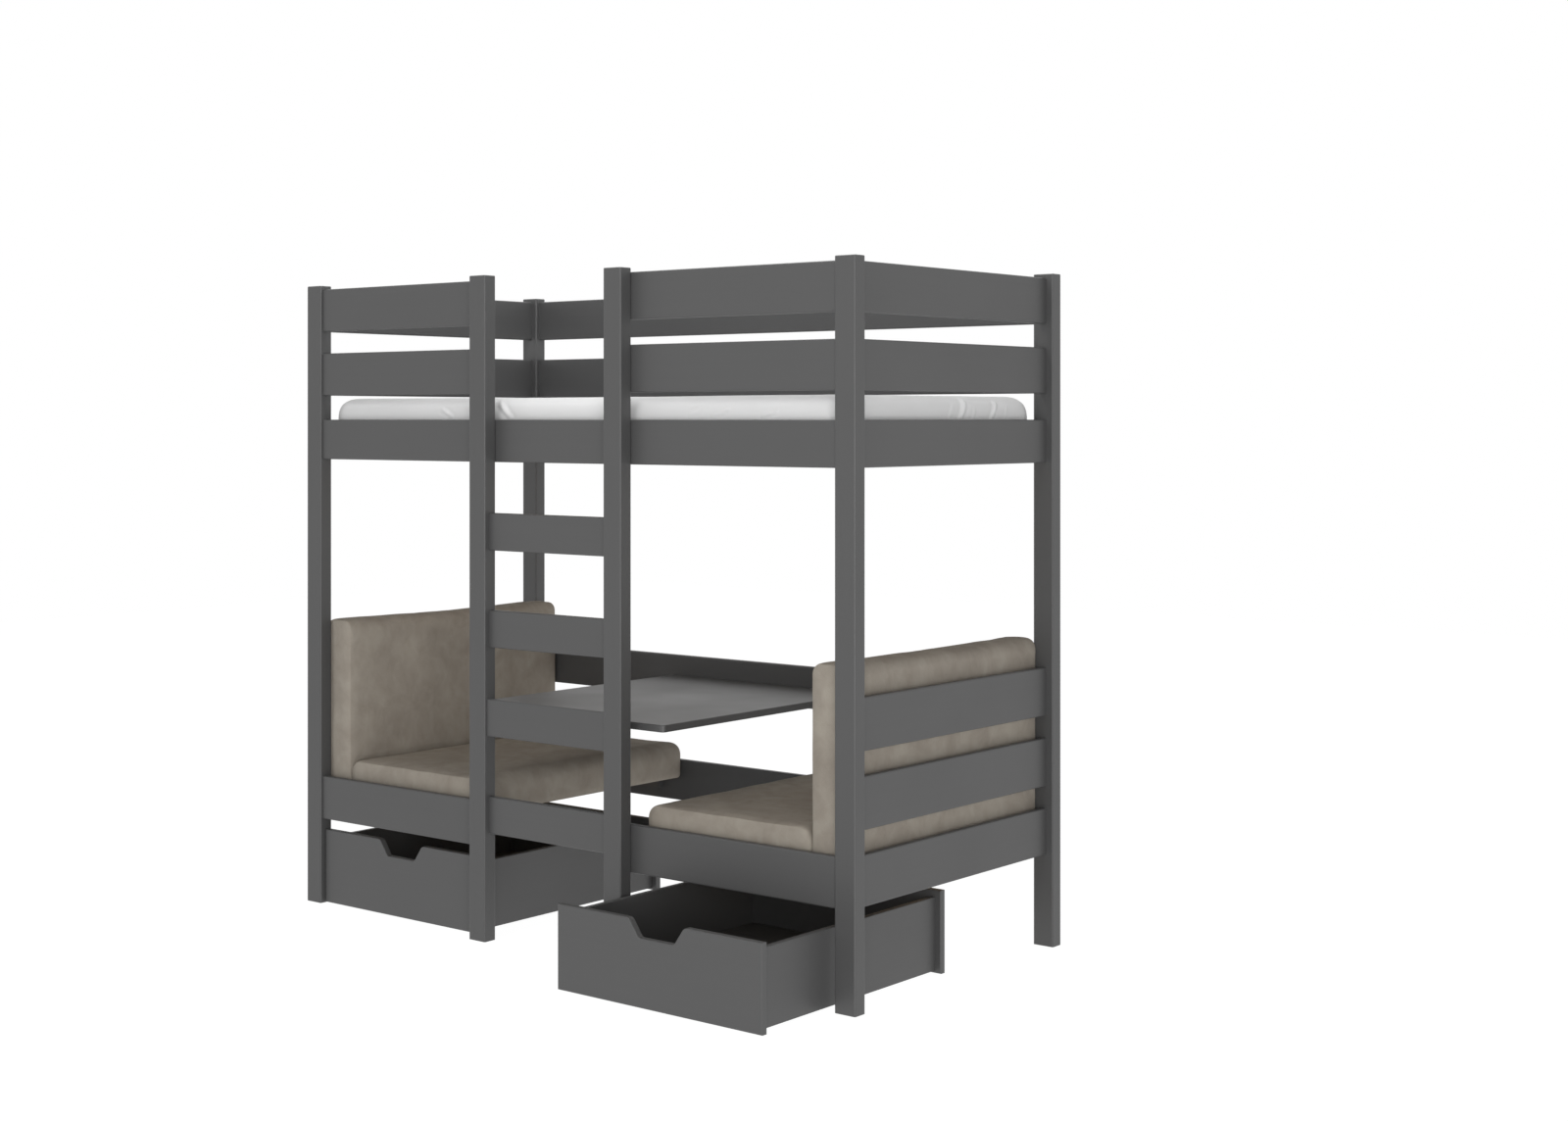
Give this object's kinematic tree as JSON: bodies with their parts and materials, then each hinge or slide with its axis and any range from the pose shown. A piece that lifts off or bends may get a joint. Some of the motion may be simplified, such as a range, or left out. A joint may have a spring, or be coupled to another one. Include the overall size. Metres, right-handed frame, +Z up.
{
  "type": "bunk bed",
  "caption": "Grey bunk bed with an upper bunk and ladder, facing bench seats with cushions, a lift-off table and pull-out drawers on castors below.",
  "frame": {"origin": "on the floor, under the middle of the whole object's box as it stands in the picture, with the right drawer pulled out", "axes": "+X along the bed to the right as seen from the ladder side, +Y to the back of the bed, +Z up"},
  "size_m": [1.885, 1.111, 1.688],
  "materials": {
    "grey_paint": "planed pine boards, sprayed with satin-matte graphite-grey water-based paint",
    "pine": "planed, unpainted pine",
    "taupe_velour": "short-pile greige velour over foam",
    "mattress_cover": "white knitted mattress cover",
    "zinc_steel": "zinc plated",
    "black_plastic": "moulded black nylon"
  },
  "bodies": {
    "bed": {"post_front_left": "grey_paint", "post_front_right": "grey_paint", "post_back_left": "grey_paint", "post_back_right": "grey_paint", "ladder_post_left": "grey_paint", "ladder_post_right": "grey_paint", "rung_top": "grey_paint", "rung_second": "grey_paint", "rung_table": "grey_paint", "rung_bottom": "grey_paint", "lower_rail_front_left": "grey_paint", "lower_rail_front_right": "grey_paint", "lower_rail_back": "grey_paint", "lower_rail_left": "grey_paint", "lower_rail_right": "grey_paint", "table_rail_back": "grey_paint", "upper_rail_front": "grey_paint", "upper_rail_back": "grey_paint", "upper_rail_left": "grey_paint", "upper_rail_right": "grey_paint", "guards_front_left": "grey_paint", "guards_front_right": "grey_paint", "guards_back": "grey_paint", "guards_left": "grey_paint", "guards_right": "grey_paint", "seat_boards_left": "grey_paint", "seat_boards_right": "grey_paint", "upper_ledger_front": "grey_paint", "upper_ledger_back": "grey_paint", "seat_ledgers_front": "grey_paint", "seat_ledgers_back": "grey_paint", "upper_slats": "pine", "seat_slats_left": "pine", "seat_slats_right": "pine", "ladder_bolts": "zinc_steel", "mattress": "mattress_cover", "seat_cushion_left": "taupe_velour", "seat_cushion_right": "taupe_velour", "back_cushion_left": "taupe_velour", "back_cushion_right": "taupe_velour", "table_bearer": "grey_paint", "table_cleat": "grey_paint"},
    "table": {"table_top": "grey_paint"},
    "drawer_left": {"drawer_left_front": "grey_paint", "drawer_left_back": "grey_paint", "drawer_left_side_left": "grey_paint", "drawer_left_side_right": "grey_paint", "drawer_left_floor": "grey_paint", "drawer_left_castor_frames": "zinc_steel"},
    "drawer_left_wheels_front": {"drawer_left_wheels_front": "black_plastic"},
    "drawer_left_wheels_back": {"drawer_left_wheels_back": "black_plastic"},
    "drawer_right": {"drawer_right_front": "grey_paint", "drawer_right_back": "grey_paint", "drawer_right_side_left": "grey_paint", "drawer_right_side_right": "grey_paint", "drawer_right_floor": "grey_paint", "drawer_right_castor_frames": "zinc_steel"},
    "drawer_right_wheels_front": {"drawer_right_wheels_front": "black_plastic"},
    "drawer_right_wheels_back": {"drawer_right_wheels_back": "black_plastic"}
  },
  "joints": [
    {"name": "drawer_left_slide", "type": "slide", "parent": "bed", "child": "drawer_left", "axis": [0, -1, 0], "range_m": [0, 0.6]},
    {"name": "drawer_left_wheels_front_spin", "type": "hinge", "parent": "drawer_left", "child": "drawer_left_wheels_front", "pos_m": [-0.574, -0.2135, 0.015], "axis": [1, 0, 0], "continuous": true},
    {"name": "drawer_left_wheels_back_spin", "type": "hinge", "parent": "drawer_left", "child": "drawer_left_wheels_back", "pos_m": [-0.574, 0.3155, 0.015], "axis": [1, 0, 0], "continuous": true},
    {"name": "drawer_right_slide", "type": "slide", "parent": "bed", "child": "drawer_right", "axis": [0, -1, 0], "range_m": [-0.262, 0.338]},
    {"name": "drawer_right_wheels_front_spin", "type": "hinge", "parent": "drawer_right", "child": "drawer_right_wheels_front", "pos_m": [0.574, -0.4755, 0.015], "axis": [1, 0, 0], "continuous": true},
    {"name": "drawer_right_wheels_back_spin", "type": "hinge", "parent": "drawer_right", "child": "drawer_right_wheels_back", "pos_m": [0.574, 0.0535, 0.015], "axis": [1, 0, 0], "continuous": true},
    {"name": "table_lift", "type": "slide", "parent": "bed", "child": "table", "axis": [0, 0, 1], "range_m": [0, 0.3]}
  ],
  "couplings": [
    {"joint": "drawer_left_wheels_front_spin", "follows": "drawer_left_slide", "rad_per_m": 66.667},
    {"joint": "drawer_left_wheels_back_spin", "follows": "drawer_left_slide", "rad_per_m": 66.667},
    {"joint": "drawer_right_wheels_front_spin", "follows": "drawer_right_slide", "rad_per_m": 66.667},
    {"joint": "drawer_right_wheels_back_spin", "follows": "drawer_right_slide", "rad_per_m": 66.667}
  ]
}
